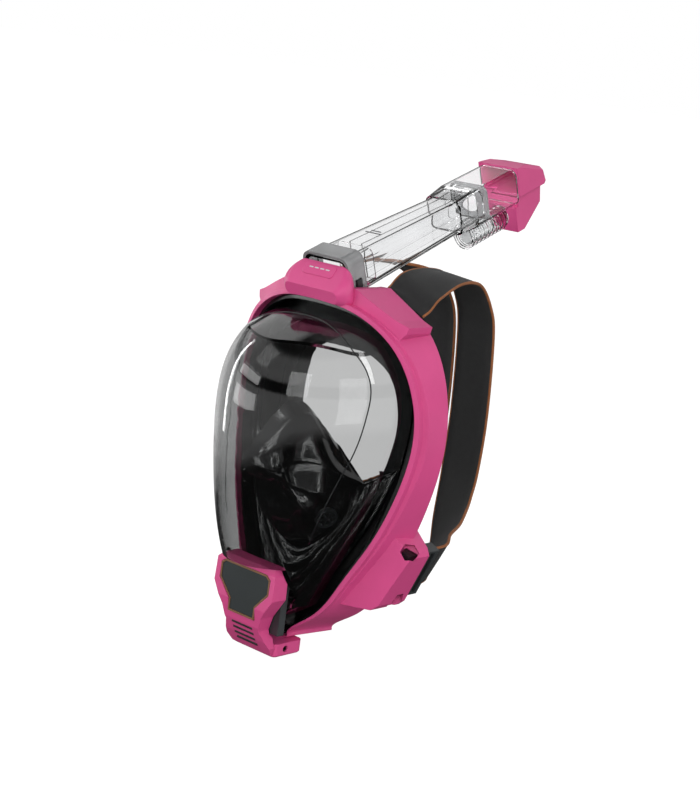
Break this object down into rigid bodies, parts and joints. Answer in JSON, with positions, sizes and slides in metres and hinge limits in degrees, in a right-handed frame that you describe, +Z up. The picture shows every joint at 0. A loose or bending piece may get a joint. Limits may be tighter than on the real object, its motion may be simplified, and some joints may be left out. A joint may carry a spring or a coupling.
{
  "type": "full face snorkel mask",
  "caption": "Full face snorkel: a clear wrapped lens in an egg-shaped frame with a nose and mouth cup, chin outlet cover, clipped head straps and a clear snorkel with a float valve.",
  "frame": {"origin": "centre of the face opening, on the middle of the face seal", "axes": "+Z up the mask, -Y the way the wearer looks, +X to the wearer's left"},
  "size_m": [0.188, 0.277, 0.3481],
  "materials": {
    "pink_plastic": "satin",
    "black_gloss": "glossy",
    "black_silicone": "satin",
    "clear_lens": "polished clear",
    "clear_tube": "clear",
    "grey_plastic": "translucent satin",
    "badge_slate": "satin",
    "bronze_trim": "brushed",
    "charcoal_webbing": "woven with an edge piping",
    "charcoal_plastic": "satin",
    "steel_screw": "dark",
    "clear_silicone": "soft translucent",
    "float_plastic": "satin"
  },
  "bodies": {
    "mask": {"frame": "pink_plastic", "chin_screws": "steel_screw", "lens": "clear_lens", "lens_rim": "black_gloss", "face_skirt": "black_silicone", "rear_clamp_ring": "charcoal_plastic", "nose_cup": "black_silicone", "cup_holder": "black_gloss", "inlet_seat_left": "charcoal_plastic", "inlet_seat_right": "charcoal_plastic", "outlet_housing": "charcoal_plastic", "outlet_seat": "charcoal_plastic", "chin_cover": "pink_plastic", "badge_trim": "bronze_trim", "badge_plate": "badge_slate", "snorkel_socket": "pink_plastic", "strap_left": "charcoal_webbing", "strap_right": "charcoal_webbing"},
    "snorkel": {"snorkel_tube": "clear_tube", "tube_dividers": "clear_tube", "tube_sleeve": "clear_tube", "lock_collar": "grey_plastic", "foot_seal": "black_silicone", "head_shroud": "clear_tube", "head_valve_seat": "grey_plastic", "float_cage": "clear_tube", "cap_upper": "pink_plastic", "cap_lower": "pink_plastic"},
    "lock_button_left": {"lock_button_left": "charcoal_plastic"},
    "lock_button_right": {"lock_button_right": "charcoal_plastic"},
    "float": {"float": "float_plastic", "float_seal": "black_silicone"},
    "outlet_flap": {"outlet_flap": "clear_silicone"},
    "inlet_flap_left": {"inlet_flap_left": "clear_silicone"},
    "inlet_flap_right": {"inlet_flap_right": "clear_silicone"},
    "buckle_left": {"buckle_left": "charcoal_plastic", "strap_end_left": "charcoal_webbing"},
    "buckle_right": {"buckle_right": "charcoal_plastic", "strap_end_right": "charcoal_webbing"},
    "prong_left_upper": {"prong_left_upper": "charcoal_plastic"},
    "prong_left_lower": {"prong_left_lower": "charcoal_plastic"},
    "prong_right_upper": {"prong_right_upper": "charcoal_plastic"},
    "prong_right_lower": {"prong_right_lower": "charcoal_plastic"}
  },
  "joints": [
    {"name": "snorkel_slide", "type": "slide", "parent": "mask", "child": "snorkel", "axis": [0, 0.9272, 0.3746], "range_m": [0, 0.03]},
    {"name": "lock_button_left_press", "type": "slide", "parent": "snorkel", "child": "lock_button_left", "axis": [-1, 0, 0], "range_m": [0, 0.0006], "stiffness_N_per_m": 400},
    {"name": "lock_button_right_press", "type": "slide", "parent": "snorkel", "child": "lock_button_right", "axis": [1, 0, 0], "range_m": [0, 0.0006], "stiffness_N_per_m": 400},
    {"name": "float_slide", "type": "slide", "parent": "snorkel", "child": "float", "axis": [0, 0.9272, 0.3746], "range_m": [0, 0.01]},
    {"name": "outlet_flap_lift", "type": "slide", "parent": "mask", "child": "outlet_flap", "axis": [0, -1, 0], "range_m": [0, 0.0015], "stiffness_N_per_m": 60},
    {"name": "inlet_flap_left_lift", "type": "slide", "parent": "mask", "child": "inlet_flap_left", "axis": [-0.8555, 0.2917, 0.4278], "range_m": [0, 0.0015], "stiffness_N_per_m": 60},
    {"name": "inlet_flap_right_lift", "type": "slide", "parent": "mask", "child": "inlet_flap_right", "axis": [0.8555, 0.2917, 0.4278], "range_m": [0, 0.0015], "stiffness_N_per_m": 60},
    {"name": "buckle_left_pull", "type": "slide", "parent": "mask", "child": "buckle_left", "axis": [0, 1, 0], "range_m": [0, 0.03]},
    {"name": "buckle_right_pull", "type": "slide", "parent": "mask", "child": "buckle_right", "axis": [0, 1, 0], "range_m": [0, 0.03]},
    {"name": "prong_left_upper_press", "type": "slide", "parent": "buckle_left", "child": "prong_left_upper", "axis": [-0.3907, 0, -0.9205], "range_m": [0, 0.002], "stiffness_N_per_m": 500},
    {"name": "prong_left_lower_press", "type": "slide", "parent": "buckle_left", "child": "prong_left_lower", "axis": [0.3907, 0, 0.9205], "range_m": [0, 0.002], "stiffness_N_per_m": 500},
    {"name": "prong_right_upper_press", "type": "slide", "parent": "buckle_right", "child": "prong_right_upper", "axis": [0.3907, 0, -0.9205], "range_m": [0, 0.002], "stiffness_N_per_m": 500},
    {"name": "prong_right_lower_press", "type": "slide", "parent": "buckle_right", "child": "prong_right_lower", "axis": [-0.3907, 0, 0.9205], "range_m": [0, 0.002], "stiffness_N_per_m": 500}
  ]
}
